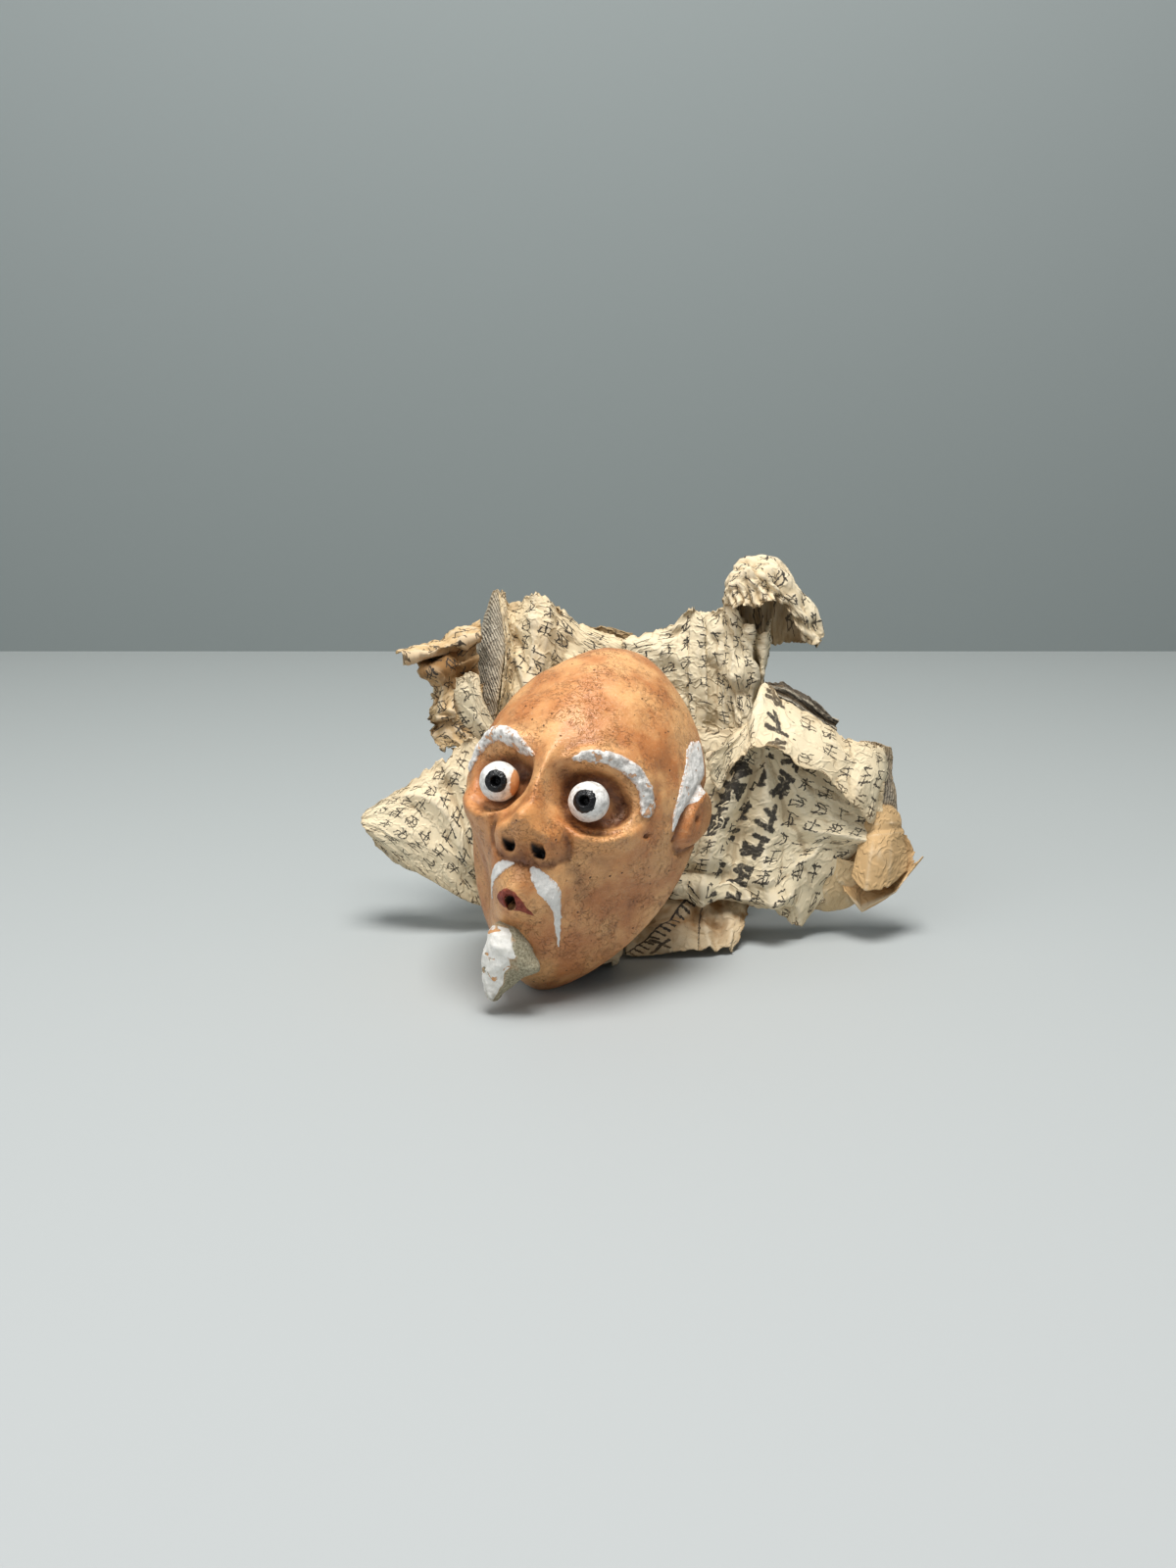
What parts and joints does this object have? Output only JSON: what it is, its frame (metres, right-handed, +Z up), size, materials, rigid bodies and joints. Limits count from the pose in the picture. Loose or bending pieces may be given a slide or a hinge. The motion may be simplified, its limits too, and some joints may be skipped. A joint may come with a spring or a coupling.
{
  "type": "hand puppet",
  "caption": "Small hand puppet: a painted clay face shell on a finger tube, set in a glove of crumpled newsprint with two lifting sleeves.",
  "frame": {"origin": "middle of the bounding box's bottom face, on the surface that the puppet rests on", "axes": "+Z up; the puppet faces -Y, with its head leaned back and turned a little to -X; +X runs to the right seen from in front"},
  "size_m": [0.0974, 0.0644, 0.0644],
  "materials": {
    "clay": "painted clay, dry brushed, slight satin",
    "white_paste": "chalky white paint, worn",
    "black_gloss": "glossy black enamel",
    "lip_red": "dark red matt paint",
    "plaster": "rough plaster paste with flaking paint",
    "newsprint": "aged newsprint, crumpled",
    "inked_newsprint": "newsprint with dense grey print",
    "brown_paper": "scorched brown edge of old paper",
    "tan_paper": "unprinted yellowed paper",
    "card": "rolled grey-brown card"
  },
  "bodies": {
    "paper_body": {"paper_core": "newsprint", "upper_left_panel": "newsprint", "grey_strip": "inked_newsprint", "upper_right_panel": "newsprint", "top_right_tuft": "newsprint", "dark_fold": "inked_newsprint", "brown_lining": "brown_paper", "torn_wad": "brown_paper", "left_scraps": "newsprint", "bottom_piece": "newsprint"},
    "neck": {"finger_tube": "card"},
    "head": {"face_shell": "clay", "head_stuffing": "newsprint", "lips": "lip_red", "goatee": "plaster", "left_eyeball": "white_paste", "right_eyeball": "white_paste", "left_pupil_ring": "black_gloss", "right_pupil_ring": "black_gloss", "left_eyebrow": "white_paste", "right_eyebrow": "white_paste", "left_moustache": "white_paste", "right_moustache": "white_paste", "left_sideburn": "white_paste", "right_sideburn": "white_paste"},
    "left_arm": {"left_sleeve": "newsprint", "left_under_fold": "newsprint"},
    "right_arm": {"right_sleeve": "newsprint", "right_flap": "newsprint", "right_cuff": "tan_paper"}
  },
  "joints": [
    {"name": "neck_nod", "type": "hinge", "parent": "paper_body", "child": "neck", "pos_m": [-0.01, -0.00745, 0.008], "axis": [1, 0, 0], "range_deg": [-6, 6]},
    {"name": "head_turn", "type": "hinge", "parent": "neck", "child": "head", "pos_m": [-0.01, -0.00745, 0.008], "axis": [0, 0, 1], "range_deg": [-15, 15]},
    {"name": "left_arm_raise", "type": "hinge", "parent": "paper_body", "child": "left_arm", "pos_m": [-0.029, 0.01515, 0.022], "axis": [0, 1, 0], "range_deg": [0, 20]},
    {"name": "right_arm_raise", "type": "hinge", "parent": "paper_body", "child": "right_arm", "pos_m": [0.012, 0.01515, 0.024], "axis": [0, -1, 0], "range_deg": [0, 20]}
  ]
}
